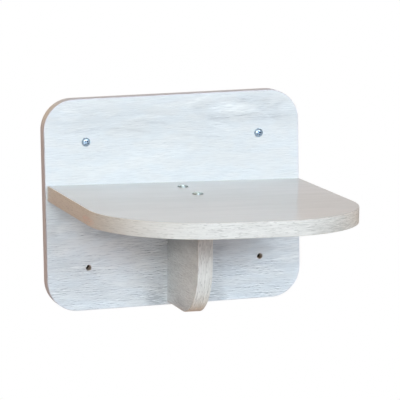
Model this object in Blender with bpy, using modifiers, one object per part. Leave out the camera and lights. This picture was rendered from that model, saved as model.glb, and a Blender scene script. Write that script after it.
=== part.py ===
# A wall-mounted cat shelf: three boards of laminated chipboard with taped edges, screwed together.
#
# Units are metres. +Z is up, +X is to the right seen from the front, and the front faces -Y.
# The origin is the middle of the back panel's rear face, which lies against the wall at y = 0.
# The shelf and its bracket were fitted a little out of square with the panel, so both hang from one
# empty that leans by that angle. Everything that fastens them, holes included, leans with them.

import math

import bmesh
import bpy
from mathutils import Matrix

# Boards, all cut from one sheet
board_thickness = 0.016
band_thickness = 0.0008
glue_line = 0.0002
seat_gap = 0.0003

# Back panel
panel_width = 0.280
panel_height = 0.225
panel_corner_radius = 0.033
wall_hole_diameter = 0.006
wall_hole_from_side = 0.045
wall_hole_from_top_and_bottom = 0.0455

# Shelf
shelf_narrower_than_panel = 0.002
shelf_depth = 0.280
shelf_corner_radius = 0.110
shelf_top_above_panel_middle = 0.0191
shelf_to_the_right = 0.0014
shelf_lean = math.radians(1.56)

# Bracket under the shelf
bracket_depth = 0.112
bracket_corner_radius = 0.055
bracket_above_panel_bottom = 0.0033
bracket_off_shelf_middle = 0.0006

# Pan-head screws that hold the panel to the wall
wall_screw_length = 0.050
wall_screw_diameter = 0.0048
wall_screw_head_diameter = 0.0092
wall_screw_head_height = 0.0031
wall_screw_recess_width = 0.0048
wall_screw_recess_depth = 0.0018

# Washer-head screws from the shelf into the bracket
shelf_screw_length = 0.045
shelf_screw_diameter = 0.0042
shelf_screw_flange_diameter = 0.0115
shelf_screw_flange_thickness = 0.0009
shelf_screw_dome_diameter = 0.0072
shelf_screw_dome_height = 0.0019
shelf_screw_recess_width = 0.0042
shelf_screw_recess_depth = 0.0013
shelf_screw_rear_from_panel = 0.0345
shelf_screw_front_from_bracket_front = 0.023
shelf_screws_off_bracket_middle = -0.002

# Confirmat screws from behind the panel into the rear edges of the shelf and the bracket
confirmat_length = 0.050
confirmat_diameter = 0.007
confirmat_head_diameter = 0.010
confirmat_head_height = 0.003
confirmat_socket_across_flats = 0.004
confirmat_socket_depth = 0.0026
shelf_confirmat_from_end = 0.049
bracket_confirmat_below_shelf = 0.045
bracket_confirmat_above_bottom = 0.022

# Clearances
screw_hole_clearance = 0.0003
hole_end_clearance = 0.001
head_below_surface = 0.0003
tip_length = 0.005
cutter_overshoot = 0.002

# Facets
steps_small_corner = 16
steps_large_corner = 32
round_steps = 32

# Derived places
hidden_edge = band_thickness + glue_line
shelf_width = panel_width - shelf_narrower_than_panel
wall_hole_x = panel_width / 2 - wall_hole_from_side
wall_hole_z = panel_height / 2 - wall_hole_from_top_and_bottom
bracket_height = (shelf_top_above_panel_middle - board_thickness
                  + panel_height / 2 - bracket_above_panel_bottom)
bracket_x = shelf_to_the_right + bracket_off_shelf_middle
bracket_top_z = -board_thickness - seat_gap
shelf_screw_x = bracket_x + shelf_screws_off_bracket_middle
shelf_screw_front_from_panel = bracket_depth - shelf_screw_front_from_bracket_front
shelf_middle_z = -board_thickness / 2
shelf_confirmat_x = shelf_width / 2 - shelf_confirmat_from_end


# Scene: two collections, one for the parts and one for the cutters

for old_object in list(bpy.data.objects):
    bpy.data.objects.remove(old_object, do_unlink=True)

parts_collection = bpy.data.collections.new("wall_mounted_cat_shelf")
cutters_collection = bpy.data.collections.new("cutters")
bpy.context.scene.collection.children.link(parts_collection)
bpy.context.scene.collection.children.link(cutters_collection)

shelf_seat = bpy.data.objects.new("shelf_seat", None)
shelf_seat.location = (0, -board_thickness, shelf_top_above_panel_middle)
shelf_seat.rotation_euler = (0, shelf_lean, 0)
parts_collection.objects.link(shelf_seat)

# A screw or cutter is drawn with its head at its own origin and its tip towards -Z. These turns point it
# forward from the wall, back into the wall, or leave it pointing down.
pointing_down = (0, 0, 0)
pointing_forward = (-math.pi / 2, 0, 0)
pointing_back = (math.pi / 2, 0, 0)

# Boards are drawn flat in their own XY plane. These turns stand the panel and the bracket up.
standing_across = (math.pi / 2, 0, 0)
standing_forward = (math.pi / 2, 0, -math.pi / 2)


def material(name, colour, roughness, metallic=0.0):
    new_material = bpy.data.materials.new(name)
    new_material.use_nodes = True
    shader = new_material.node_tree.nodes["Principled BSDF"]
    shader.inputs["Base Color"].default_value = (*colour, 1)
    shader.inputs["Roughness"].default_value = roughness
    shader.inputs["Metallic"].default_value = metallic
    new_material.diffuse_color = (*colour, 1)
    return new_material


def arc(centre_x, centre_y, radius, from_degrees, to_degrees, steps):
    """Points along an arc, both ends included."""
    points = []
    for step in range(steps + 1):
        angle = math.radians(from_degrees + (to_degrees - from_degrees) * step / steps)
        points.append((centre_x + radius * math.cos(angle), centre_y + radius * math.sin(angle)))
    return points


def panel_outline(inset):
    """The panel's rounded rectangle, drawn in by an inset."""
    radius = min(panel_corner_radius, panel_width / 2 - 0.001, panel_height / 2 - 0.001)
    x = panel_width / 2 - radius
    y = panel_height / 2 - radius
    points = []
    for centre_x, centre_y, start in ((x, y, 0), (-x, y, 90), (-x, -y, 180), (x, -y, 270)):
        points += arc(centre_x, centre_y, radius - inset, start, start + 90, steps_small_corner)
    return points


def shelf_edge_path(inset):
    """From the rear left end, round the front, to the rear right end, drawn in by an inset."""
    radius = min(shelf_corner_radius, shelf_width / 2 - 0.001, shelf_depth - 0.001)
    x = shelf_width / 2 - radius
    y = -(shelf_depth - radius)
    points = [(-shelf_width / 2 + inset, -seat_gap)]
    points += arc(-x, y, radius - inset, 180, 270, steps_large_corner)
    points += arc(x, y, radius - inset, 270, 360, steps_large_corner)
    points.append((shelf_width / 2 - inset, -seat_gap))
    return points


def bracket_edge_path(inset):
    """From the top of the front edge, down and round the lower corner, to the rear. x runs forward."""
    radius = min(bracket_corner_radius, bracket_depth - 0.001, bracket_height - 0.001)
    points = [(bracket_depth - inset, 0)]
    points += arc(bracket_depth - radius, radius - bracket_height, radius - inset, 0, -90, steps_large_corner)
    points.append((seat_gap, -bracket_height + inset))
    return points


def plate_mesh(name, outlines, thickness):
    """A flat piece cut to one or more closed outlines, with its thickness centred on its own XY plane."""
    curve = bpy.data.curves.new(name, "CURVE")
    curve.dimensions = "2D"
    curve.fill_mode = "BOTH"
    curve.extrude = thickness / 2
    for outline in outlines:
        spline = curve.splines.new("POLY")
        spline.points.add(len(outline) - 1)
        for point, (x, y) in zip(spline.points, outline):
            point.co = (x, y, 0, 1)
        spline.use_cyclic_u = True
    curve_object = bpy.data.objects.new(name, curve)
    parts_collection.objects.link(curve_object)
    bpy.context.view_layer.update()
    evaluated = curve_object.evaluated_get(bpy.context.evaluated_depsgraph_get())
    mesh = bpy.data.meshes.new_from_object(evaluated)
    mesh.name = name
    bpy.data.objects.remove(curve_object, do_unlink=True)
    bpy.data.curves.remove(curve)
    shape = bmesh.new()
    shape.from_mesh(mesh)
    bmesh.ops.remove_doubles(shape, verts=shape.verts, dist=0.000001)
    bmesh.ops.recalc_face_normals(shape, faces=shape.faces)
    shape.to_mesh(mesh)
    shape.free()
    return mesh


def place(name, mesh, collection, location, rotation, parent):
    new_object = bpy.data.objects.new(name, mesh)
    new_object.location = location
    new_object.rotation_euler = rotation
    new_object.parent = parent
    collection.objects.link(new_object)
    return new_object


def shade_round(piece):
    piece.data.shade_smooth()
    piece.data.set_sharp_from_angle(angle=math.radians(30))


def turned_mesh(name, profile):
    """The edge of a turned shape: from its top on the axis, down its outer side, to its bottom."""
    mesh = bpy.data.meshes.new(name)
    vertices = [(x, 0, z) for x, z in profile]
    edges = [(index, index + 1) for index in range(len(profile) - 1)]
    mesh.from_pydata(vertices, edges, [])
    return mesh


def turn(piece):
    screw = piece.modifiers.new("turned", "SCREW")
    screw.steps = round_steps
    screw.render_steps = round_steps
    screw.use_merge_vertices = True
    screw.merge_threshold = 0.000001
    screw.use_smooth_shade = True


def hide_cutter(cutter):
    cutter.display_type = "WIRE"
    cutter.hide_render = True


def turned_cutter(name, profile, location, rotation, parent=None):
    cutter = place(name, turned_mesh(name, profile), cutters_collection, location, rotation, parent)
    turn(cutter)
    hide_cutter(cutter)
    return cutter


def cut(piece, cutter):
    boolean = piece.modifiers.new(cutter.name, "BOOLEAN")
    boolean.operation = "DIFFERENCE"
    boolean.solver = "EXACT"
    boolean.object = cutter


def hole_profile(diameter, depth):
    """A plain hole's profile: it starts above the surface that it enters and ends at a depth."""
    return [(0, cutter_overshoot), (diameter / 2, cutter_overshoot), (diameter / 2, -depth), (0, -depth)]


def dome(radius, base, height, steps=6):
    """A low dome's profile, from its top on the axis down to its rim."""
    points = []
    for step in range(steps + 1):
        angle = math.radians(90 * step / steps)
        points.append((radius * math.sin(angle), base + height * math.cos(angle)))
    return points


def shank(diameter, length):
    """A screw's profile below its head: straight, then tapering to the tip."""
    return [(diameter / 2, 0), (diameter / 2, -length + tip_length), (0, -length)]


def blade_mesh(name, width, top, depth):
    """One tapered blade of a cross recess. It is widest at the top and stands above the head."""
    reach = depth + 0.001
    taper = reach * math.tan(math.radians(15))
    blade = bmesh.new()
    bmesh.ops.create_cone(blade, cap_ends=True, segments=4, depth=reach,
                          radius1=(width / 2 - taper) * math.sqrt(2), radius2=width / 2 * math.sqrt(2),
                          matrix=Matrix.Rotation(math.pi / 4, 4, "Z"))
    bmesh.ops.scale(blade, verts=blade.verts, vec=(1, 0.24, 1))
    bmesh.ops.translate(blade, verts=blade.verts, vec=(0, 0, top - depth + reach / 2))
    mesh = bpy.data.meshes.new(name)
    blade.to_mesh(mesh)
    blade.free()
    return mesh


def cut_cross(piece, blade, turned_by):
    """Cut both blades of a cross recess into a screw's head."""
    for index, angle in enumerate((turned_by, turned_by + 90)):
        name = f"{piece.name}_blade_{index + 1}"
        cutter = place(name, blade, cutters_collection, (0, 0, 0), (0, 0, math.radians(angle)), piece)
        hide_cutter(cutter)
        cut(piece, cutter)


# Back panel: a board with rounded corners, four wall holes, and tape glued all round its edge. The holes
# for the confirmat screws are cut further down, with the screws.

laminate = material("whitewashed_oak_laminate", (0.80, 0.82, 0.82), 0.45)
edge_tape = material("whitewashed_oak_edge_tape", (0.72, 0.71, 0.69), 0.45)
panel_middle = (0, -board_thickness / 2, 0)

back_panel_mesh = plate_mesh("back_panel", [panel_outline(hidden_edge)], board_thickness)
back_panel = place("back_panel", back_panel_mesh, parts_collection, panel_middle, standing_across, None)
back_panel_mesh.materials.append(laminate)

panel_band_mesh = plate_mesh("back_panel_edge_band", [panel_outline(0), panel_outline(band_thickness)],
                             board_thickness)
back_panel_edge_band = place("back_panel_edge_band", panel_band_mesh, parts_collection, panel_middle,
                             standing_across, None)
panel_band_mesh.materials.append(edge_tape)

wall_hole_profile = hole_profile(wall_hole_diameter, board_thickness + cutter_overshoot)
for name, x, z in (("wall_hole_upper_left", -wall_hole_x, wall_hole_z),
                   ("wall_hole_upper_right", wall_hole_x, wall_hole_z),
                   ("wall_hole_lower_left", -wall_hole_x, -wall_hole_z),
                   ("wall_hole_lower_right", wall_hole_x, -wall_hole_z)):
    cut(back_panel, turned_cutter(name, wall_hole_profile, (x, 0, z), pointing_forward))


# Shelf: its top is level with the shelf_seat empty, and its rear edge stands against the panel. Tape covers
# both ends, the rounded corners and the front.

shelf_place = (shelf_to_the_right, 0, shelf_middle_z)

shelf_mesh = plate_mesh("shelf_board", [shelf_edge_path(hidden_edge)], board_thickness)
shelf_board = place("shelf_board", shelf_mesh, parts_collection, shelf_place, (0, 0, 0), shelf_seat)
shelf_mesh.materials.append(laminate)

shelf_band_outline = shelf_edge_path(0) + shelf_edge_path(band_thickness)[::-1]
shelf_band_mesh = plate_mesh("shelf_edge_band", [shelf_band_outline], board_thickness)
shelf_edge_band = place("shelf_edge_band", shelf_band_mesh, parts_collection, shelf_place, (0, 0, 0),
                        shelf_seat)
shelf_band_mesh.materials.append(edge_tape)


# Bracket: stands on edge under the middle of the shelf. Its top and rear edges are hidden against the shelf
# and the panel, so only its front and underside are taped.

bracket_place = (bracket_x, 0, bracket_top_z)

bracket_outline = [(seat_gap, 0)] + bracket_edge_path(hidden_edge)
bracket_mesh = plate_mesh("support_bracket", [bracket_outline], board_thickness)
support_bracket = place("support_bracket", bracket_mesh, parts_collection, bracket_place, standing_forward,
                        shelf_seat)
bracket_mesh.materials.append(laminate)

bracket_band_outline = bracket_edge_path(0) + bracket_edge_path(band_thickness)[::-1]
bracket_band_mesh = plate_mesh("support_bracket_edge_band", [bracket_band_outline], board_thickness)
support_bracket_edge_band = place("support_bracket_edge_band", bracket_band_mesh, parts_collection,
                                  bracket_place, standing_forward, shelf_seat)
bracket_band_mesh.materials.append(edge_tape)


# Wall screws: one in each upper wall hole, driven home, with the rest of their length behind the panel.

zinc = material("zinc_plated_steel", (0.62, 0.68, 0.74), 0.28, 1.0)

wall_head_rim = 0.0006
wall_screw_profile = dome(wall_screw_head_diameter / 2, wall_head_rim, wall_screw_head_height - wall_head_rim)
wall_screw_profile.append((wall_screw_head_diameter / 2, 0))
wall_screw_profile += shank(wall_screw_diameter, wall_screw_length)
wall_blade = blade_mesh("wall_screw_blade", wall_screw_recess_width, wall_screw_head_height,
                        wall_screw_recess_depth)

for name, x, turned_by in (("wall_screw_left", -wall_hole_x, 52), ("wall_screw_right", wall_hole_x, 24)):
    screw_mesh = turned_mesh(name, wall_screw_profile)
    wall_screw = place(name, screw_mesh, parts_collection, (x, -board_thickness - seat_gap, wall_hole_z),
                       pointing_back, None)
    screw_mesh.materials.append(zinc)
    turn(wall_screw)
    cut_cross(wall_screw, wall_blade, turned_by)


# Shelf screws: their wide flanges rest on the shelf, and they go down through it into the bracket.

flange_radius = shelf_screw_flange_diameter / 2
shelf_screw_profile = dome(shelf_screw_dome_diameter / 2, shelf_screw_flange_thickness,
                           shelf_screw_dome_height)
shelf_screw_profile += [(flange_radius - 0.0005, shelf_screw_flange_thickness * 0.8),
                        (flange_radius, shelf_screw_flange_thickness * 0.4), (flange_radius, 0)]
shelf_screw_profile += shank(shelf_screw_diameter, shelf_screw_length)
shelf_screw_hole = hole_profile(shelf_screw_diameter + 2 * screw_hole_clearance,
                                shelf_screw_length + hole_end_clearance)
shelf_blade = blade_mesh("shelf_screw_blade", shelf_screw_recess_width,
                         shelf_screw_flange_thickness + shelf_screw_dome_height, shelf_screw_recess_depth)

for name, from_panel, turned_by in (("shelf_screw_rear", shelf_screw_rear_from_panel, 35),
                                    ("shelf_screw_front", shelf_screw_front_from_panel, 70)):
    screw_mesh = turned_mesh(name, shelf_screw_profile)
    screw_place = (shelf_screw_x, -from_panel, seat_gap)
    shelf_screw = place(name, screw_mesh, parts_collection, screw_place, pointing_down, shelf_seat)
    screw_mesh.materials.append(zinc)
    turn(shelf_screw)
    cut_cross(shelf_screw, shelf_blade, turned_by)
    hole = turned_cutter(f"{name}_hole", shelf_screw_hole, screw_place, pointing_down, shelf_seat)
    cut(shelf_board, hole)
    cut(support_bracket, hole)


# Confirmat screws: their countersunk heads lie just below the panel's rear face. Two hold the shelf's rear
# edge and two hold the bracket's.

confirmat_radius = confirmat_diameter / 2
confirmat_head_radius = confirmat_head_diameter / 2
confirmat_rim_z = -head_below_surface - 0.0004
confirmat_neck_z = -head_below_surface - confirmat_head_height
confirmat_profile = [(0, -head_below_surface), (confirmat_head_radius, -head_below_surface),
                     (confirmat_head_radius, confirmat_rim_z), (confirmat_radius, confirmat_neck_z)]
confirmat_profile += shank(confirmat_diameter, confirmat_length)[1:]
countersink_radius = confirmat_head_radius + screw_hole_clearance
confirmat_hole = [(0, cutter_overshoot), (countersink_radius, cutter_overshoot),
                  (countersink_radius, confirmat_rim_z),
                  (confirmat_radius + screw_hole_clearance, confirmat_neck_z)]
confirmat_hole += hole_profile(confirmat_diameter + 2 * screw_hole_clearance,
                               confirmat_length + hole_end_clearance)[2:]

socket = bmesh.new()
bmesh.ops.create_cone(socket, cap_ends=True, segments=6, depth=confirmat_socket_depth + 0.001,
                      radius1=confirmat_socket_across_flats / math.sqrt(3),
                      radius2=confirmat_socket_across_flats / math.sqrt(3))
bmesh.ops.translate(socket, verts=socket.verts, vec=(0, 0, (0.001 - confirmat_socket_depth) / 2))
socket_mesh = bpy.data.meshes.new("hexagonal_socket")
socket.to_mesh(socket_mesh)
socket.free()

bracket_upper_z = bracket_top_z - bracket_confirmat_below_shelf
bracket_lower_z = bracket_top_z - bracket_height + bracket_confirmat_above_bottom
for name, x, z, board in (
        ("shelf_confirmat_left", shelf_to_the_right - shelf_confirmat_x, shelf_middle_z, shelf_board),
        ("shelf_confirmat_right", shelf_to_the_right + shelf_confirmat_x, shelf_middle_z, shelf_board),
        ("bracket_confirmat_upper", bracket_x, bracket_upper_z, support_bracket),
        ("bracket_confirmat_lower", bracket_x, bracket_lower_z, support_bracket)):
    screw_mesh = turned_mesh(name, confirmat_profile)
    screw_place = (x, board_thickness, z)
    confirmat = place(name, screw_mesh, parts_collection, screw_place, pointing_forward, shelf_seat)
    screw_mesh.materials.append(zinc)
    turn(confirmat)
    socket_cutter = place(f"{name}_socket", socket_mesh, cutters_collection, (0, 0, -head_below_surface),
                          (0, 0, 0), confirmat)
    hide_cutter(socket_cutter)
    cut(confirmat, socket_cutter)
    hole = turned_cutter(f"{name}_hole", confirmat_hole, screw_place, pointing_forward, shelf_seat)
    cut(back_panel, hole)
    cut(board, hole)


# Rounded faces are shaded smooth, with a crease left at every corner of more than 30 degrees.

for piece in (back_panel, back_panel_edge_band, shelf_board, shelf_edge_band, support_bracket,
              support_bracket_edge_band):
    shade_round(piece)
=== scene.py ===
import math

import bpy
from mathutils import Matrix


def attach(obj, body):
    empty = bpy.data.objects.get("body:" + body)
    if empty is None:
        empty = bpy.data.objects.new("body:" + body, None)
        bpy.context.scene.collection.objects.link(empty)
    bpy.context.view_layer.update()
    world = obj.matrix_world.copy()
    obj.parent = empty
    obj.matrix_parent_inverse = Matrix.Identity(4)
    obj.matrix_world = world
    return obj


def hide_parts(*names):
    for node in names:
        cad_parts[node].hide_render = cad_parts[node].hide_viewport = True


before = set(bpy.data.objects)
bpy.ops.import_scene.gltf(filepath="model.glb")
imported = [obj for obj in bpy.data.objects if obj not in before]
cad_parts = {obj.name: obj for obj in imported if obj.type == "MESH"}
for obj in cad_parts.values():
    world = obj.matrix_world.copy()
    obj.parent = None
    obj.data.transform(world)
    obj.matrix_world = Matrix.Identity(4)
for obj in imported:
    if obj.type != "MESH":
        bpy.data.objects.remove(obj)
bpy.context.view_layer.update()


# Panel board. A plate of 16 mm chipboard faced on both sides with white-washed oak laminate, cut with
# round corners. It is drilled from the front for four wall screws, and from behind, with countersinks, for
# the long screws that hold the shelf and the bracket.

board_thickness = 0.016
tape_thickness = 0.0008
tape_seam = 0.0001
panel_width = 0.280
panel_height = 0.225
panel_corner_radius = 0.033
chips_per_metre = 620.0
wall_hole_radius = 0.003
wall_hole_x = 0.095
wall_hole_z = 0.067
torn_rim = 0.0007
burr_radius = 0.0025
burr_depth = 0.0012
past_surface = 0.002
hole_clearance = 0.0003
joint_screw_radius = 0.0035
joint_screw_head_radius = 0.005
joint_screw_head_height = 0.003
joint_screw_below_surface = 0.0003
joint_screw_hole_depth = 0.051
countersink_rim = 0.0004

# Seen from the front, the shelf and the bracket are turned a little clockwise, and sit a little to the
# right of the panel's middle. Their seat is on the panel's front, level with the shelf's top. Each joint
# screw has its place across and up from there.
shelf_height = 0.0191
shelf_lean = math.radians(1.56)
shelf_middle_x = 0.0014
bracket_middle_x = 0.0020
joint_screw_spread = 0.090
shelf_seat = Matrix.Translation((0, -board_thickness, shelf_height)) @ Matrix.Rotation(shelf_lean, 4, "Y")
shelf_joint_screws = ((shelf_middle_x - joint_screw_spread, -board_thickness / 2),
                      (shelf_middle_x + joint_screw_spread, -board_thickness / 2))
bracket_joint_screws = ((bracket_middle_x, -0.0613), (bracket_middle_x, -0.1066))


class Shade:
    """One output of a shader node. Arithmetic on Shades adds Math nodes."""

    def __init__(self, socket):
        self.socket = socket

    def node(self, kind, settings, sockets, output=0):
        """Add a node: its settings first, then its sockets' values or links. Gives one of its outputs."""
        tree = self.socket.id_data
        new_node = tree.nodes.new(kind)
        for name, value in settings.items():
            if name == "stops":
                first, last = new_node.color_ramp.elements
                first.position, first.color = value[0]
                last.position, last.color = value[-1]
                for position, colour in value[1:-1]:
                    new_node.color_ramp.elements.new(position).color = colour
            else:
                setattr(new_node, name, value)
        for name, value in sockets.items():
            if isinstance(value, Shade):
                tree.links.new(value.socket, new_node.inputs[name])
            else:
                new_node.inputs[name].default_value = value
        return Shade(new_node.outputs[output])

    def maths(self, operation, first, second=0.0):
        return self.node("ShaderNodeMath", {"operation": operation}, {0: first, 1: second})

    def __add__(self, other):
        return self.maths("ADD", self, other)

    def __radd__(self, other):
        return self.maths("ADD", other, self)

    def __sub__(self, other):
        return self.maths("SUBTRACT", self, other)

    def __rsub__(self, other):
        return self.maths("SUBTRACT", other, self)

    def __mul__(self, other):
        return self.maths("MULTIPLY", self, other)

    def __rmul__(self, other):
        return self.maths("MULTIPLY", other, self)

    def __truediv__(self, other):
        return self.maths("DIVIDE", self, other)


def new_finish(name):
    """A material, its shader node, and its piece's own coordinates in metres."""
    material = bpy.data.materials.new(name)
    material.use_nodes = True
    shader = material.node_tree.nodes["Principled BSDF"]
    coordinates = material.node_tree.nodes.new("ShaderNodeTexCoord")
    return material, shader, Shade(coordinates.outputs["Object"])


def join(source, shader, name):
    """Link a Shade to one of the shader's sockets."""
    source.socket.id_data.links.new(source.socket, shader.inputs[name])


def split(place):
    """The three coordinates of a vector."""
    parts = place.node("ShaderNodeSeparateXYZ", {}, {0: place})
    return [Shade(socket) for socket in parts.socket.node.outputs]


def spots(place, along, across, through=0.02, detail=2.0, roughness=0.5, shift=0.0):
    """Noise from 0 to 1. Its spots have the given sizes in metres along, across and through the board."""
    sizes = (1 / along, 1 / across, 1 / through)
    scaled = place.node("ShaderNodeVectorMath", {"operation": "MULTIPLY_ADD"},
                        {0: place, 1: sizes, 2: (shift, shift * 1.7, shift * 0.6)})
    return place.node("ShaderNodeTexNoise", {},
                      {"Vector": scaled, "Scale": 1.0, "Detail": detail, "Roughness": roughness})


def ease(value, low, high):
    """0 below low and 1 above high, with a smooth step between. Low may be the larger."""
    return value.node("ShaderNodeMapRange", {"interpolation_type": "SMOOTHSTEP"},
                      {"Value": value, "From Min": low, "From Max": high})


def tint(amount, first, second):
    """A colour between two others."""
    return amount.node("ShaderNodeMix", {"data_type": "RGBA"}, {0: amount, 6: first, 7: second}, 2)


def bump(height, strength, distance):
    """Height in parts of a distance, as a bent surface normal."""
    return height.node("ShaderNodeBump", {},
                       {"Height": height, "Strength": strength, "Distance": distance})


def moved(place, offset):
    """Coordinates moved by an offset, which may differ from spot to spot."""
    return place.node("ShaderNodeVectorMath", {"operation": "ADD"}, {0: place, 1: offset})


def bent(place, along, across, amount):
    """The same coordinates, pushed across the grain by slow noise, so that straight grain wanders."""
    push = (spots(place, along, across, 0.05, 1.0) - 0.5) * amount
    return moved(place, place.node("ShaderNodeCombineXYZ", {}, {"X": push * 0.6, "Y": push}))


def oval(x, y, middle, half_length, half_height, slope=0.0, arch=0.0):
    """A soft oval that is 1 in its middle and 0 outside. It may slope, and arch like a growth ring."""
    off_x = x - middle[0]
    off_y = y - middle[1] - off_x * slope
    if arch:
        off_y = off_y - off_x * off_x * arch
    far_x = off_x / half_length
    far_y = off_y / half_height
    return ease(far_x * far_x + far_y * far_y, 1.0, 0.15)


def print_marks(x, y, ovals):
    """The sum of many ovals. Each is a row of what oval() takes, with its strength at the end."""
    total = 0.0
    for *shape, strength in ovals:
        total = total + oval(x, y, *shape) * strength
    return total


def strokes(place, along, across, shift):
    """Embossed strokes along the grain, from -1 to 1: a pale upper side above a dark lower side."""
    lower_side = moved(place, (0, -across * 0.7, 0))
    here = spots(place, along, across, detail=1.5, roughness=0.6, shift=shift)
    below = spots(lower_side, along, across, detail=1.5, roughness=0.6, shift=shift)
    return (here - below) * 2.4


def panel_laminate():
    """Printed and embossed oak grain: slow pale and grey figure, thin growth lines, and short dashes, with
    some painted light and shade on the lower half.
    """
    material, shader, place = new_finish("panel_laminate")

    # The grain wanders. Right of the middle it is straighter, and its strokes slope.
    from_middle = split(place)[0]
    straighter = ease(from_middle, 0.000, 0.050)
    wander = bent(place, 0.060, 0.016, 0.0026 - straighter * 0.0018)
    sloped = moved(wander, wander.node("ShaderNodeCombineXYZ", {}, {"Y": from_middle * straighter * 0.055}))

    # The figure's pale and dark ovals have ragged edges. Under them lie broad patches that are partly print
    # and partly painted light and shade, which lighten or deepen the shadows of the shelf and the bracket
    # on the panel's lower half.
    x, y = split(bent(wander, 0.0090, 0.0024, 0.0030))[:2]
    figure = print_marks(x, y, (
        ((-0.114, 0.0960), 0.017, 0.0095, -0.05, 0.0, 0.26),
        ((0.066, 0.0945), 0.034, 0.0072, -0.05, 0.0, 0.62),
        ((0.026, 0.1050), 0.020, 0.0022, 0.34, 0.0, 0.30),
        ((0.128, 0.0940), 0.013, 0.0062, 0.10, 0.0, 0.40),
        ((-0.074, 0.0960), 0.014, 0.0032, -0.05, 0.0, 0.44),
        ((-0.031, 0.0903), 0.030, 0.0020, -0.02, 0.0, 0.44),
        ((0.052, 0.0770), 0.018, 0.0046, -0.30, 0.0, 0.26),
        ((0.058, 0.1010), 0.012, 0.0018, 0.10, 0.0, 0.36),
        ((-0.049, 0.0980), 0.056, 0.0085, -0.04, 0.0, -0.22),
        ((0.036, 0.0990), 0.020, 0.0056, 0.10, 0.0, -0.48),
        ((0.078, 0.1030), 0.034, 0.0046, -0.05, 0.0, -0.36),
        ((0.100, 0.1000), 0.040, 0.0120, -0.04, 0.0, -0.34),
        ((0.107, 0.0960), 0.018, 0.0080, 0.05, 0.0, -0.30),
        ((0.084, 0.0850), 0.060, 0.0056, -0.05, 0.0, -0.46),
        ((0.086, 0.0850), 0.024, 0.0030, -0.06, 0.0, -0.18),
        ((0.044, 0.0855), 0.024, 0.0042, -0.30, 0.0, -0.30),
        ((-0.068, 0.0795), 0.066, 0.0026, -0.05, -2.3, -0.36),
        ((-0.024, 0.0845), 0.026, 0.0020, -0.11, 0.0, -0.42),
        ((0.030, 0.0670), 0.042, 0.0016, -0.11, 0.0, -0.40),
        ((-0.058, -0.0520), 0.012, 0.0060, 0.0, 0.0, -0.44),
        ((-0.022, -0.0980), 0.015, 0.0170, 0.0, 0.0, -0.60),
        ((0.045, -0.0780), 0.012, 0.0360, 0.0, 0.0, -0.34),
        ((0.127, -0.0560), 0.024, 0.0260, 0.0, 0.0, 0.44)))
    print_and_painted_shade = print_marks(x, y, (
        ((-0.0880, -0.0490), 0.048, 0.0210, 0.62),
        ((-0.0540, -0.0700), 0.036, 0.0230, 0.46),
        ((-0.1150, -0.0260), 0.018, 0.0150, 0.50),
        ((0.0440, -0.0500), 0.020, 0.0150, -0.32),
        ((0.0780, -0.0570), 0.044, 0.0110, -0.24),
        ((0.1180, -0.0470), 0.030, 0.0130, 0.24),
        ((-0.0690, -0.0330), 0.024, 0.0080, -0.44),
        ((-0.0850, -0.0490), 0.018, 0.0070, 0.24),
        ((-0.0950, -0.0480), 0.020, 0.0100, 0.16),
        ((-0.1350, -0.0090), 0.012, 0.0140, 0.16),
        ((-0.0600, 0.0380), 0.060, 0.0140, 0.10),
        ((-0.0340, -0.0430), 0.026, 0.0120, 0.16),
        ((-0.0450, -0.0500), 0.022, 0.0080, 0.16),
        ((-0.1080, -0.0600), 0.030, 0.0130, -0.18),
        ((-0.0780, -0.0640), 0.012, 0.0080, -0.24),
        ((0.0620, -0.0735), 0.022, 0.0090, -0.18),
        ((-0.0120, -0.0480), 0.010, 0.0120, -0.26),
        ((-0.0980, 0.0930), 0.045, 0.0120, -0.16),
        ((0.1280, 0.0850), 0.024, 0.0200, -0.16),
        ((-0.0200, 0.0520), 0.045, 0.0110, 0.14),
        ((-0.0220, -0.1070), 0.014, 0.0130, -0.45),
        ((0.0450, -0.1080), 0.016, 0.0150, -0.50),
        ((-0.1090, -0.0980), 0.048, 0.0220, -0.23),
        ((0.0970, -0.1020), 0.046, 0.0130, -0.25),
        ((0.0000, 0.0840), 0.190, 0.0150, -0.12)))

    # Thin pale growth lines, and the places where the print is calm.
    x, y, z = split(bent(wander, 0.016, 0.0060, 0.0022))
    growth_lines = print_marks(x, y, (
        ((-0.084, -0.0615), 0.012, 0.0011, 0.30, 0.0, 1.0),
        ((-0.064, -0.0475), 0.010, 0.0010, 0.10, -16.0, 1.0),
        ((-0.060, -0.0560), 0.010, 0.0010, 0.05, 14.0, 1.0),
        ((-0.076, -0.0690), 0.030, 0.0012, -0.06, 3.0, 1.0),
        ((-0.032, -0.0670), 0.032, 0.0012, 0.12, -2.0, 1.0),
        ((-0.021, -0.0535), 0.008, 0.0010, 0.20, -20.0, 1.0),
        ((-0.105, -0.0655), 0.024, 0.0011, 0.02, 0.0, 1.0),
        ((0.118, -0.0712), 0.024, 0.0011, 0.05, 0.0, 1.0)))
    calm = print_marks(x, y, (
        ((0.084, -0.050), 0.085, 0.027, 0.82),
        ((0.134, -0.082), 0.032, 0.040, 0.45)))

    # Fine streaks run through everything. The figure, which from here on also holds the painted light and
    # shade, is on the side toward the room alone.
    lower = ease(y, 0.010, -0.055)
    toward_room = ease(z, -0.004, 0.004)
    streaks = ease(spots(wander, 0.012, 0.0013, detail=3.0, shift=3.0), 0.38, 0.62)
    tone = (spots(wander, 0.045, 0.0065, detail=4.0, roughness=0.62) - 0.5) * (0.30 + lower * 0.80)
    figure = figure * (0.05 + streaks * 0.85) + print_and_painted_shade * (0.7 + streaks * 0.6)
    tone = tone + (streaks - 0.5) * 0.16 + figure * toward_room

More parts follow.
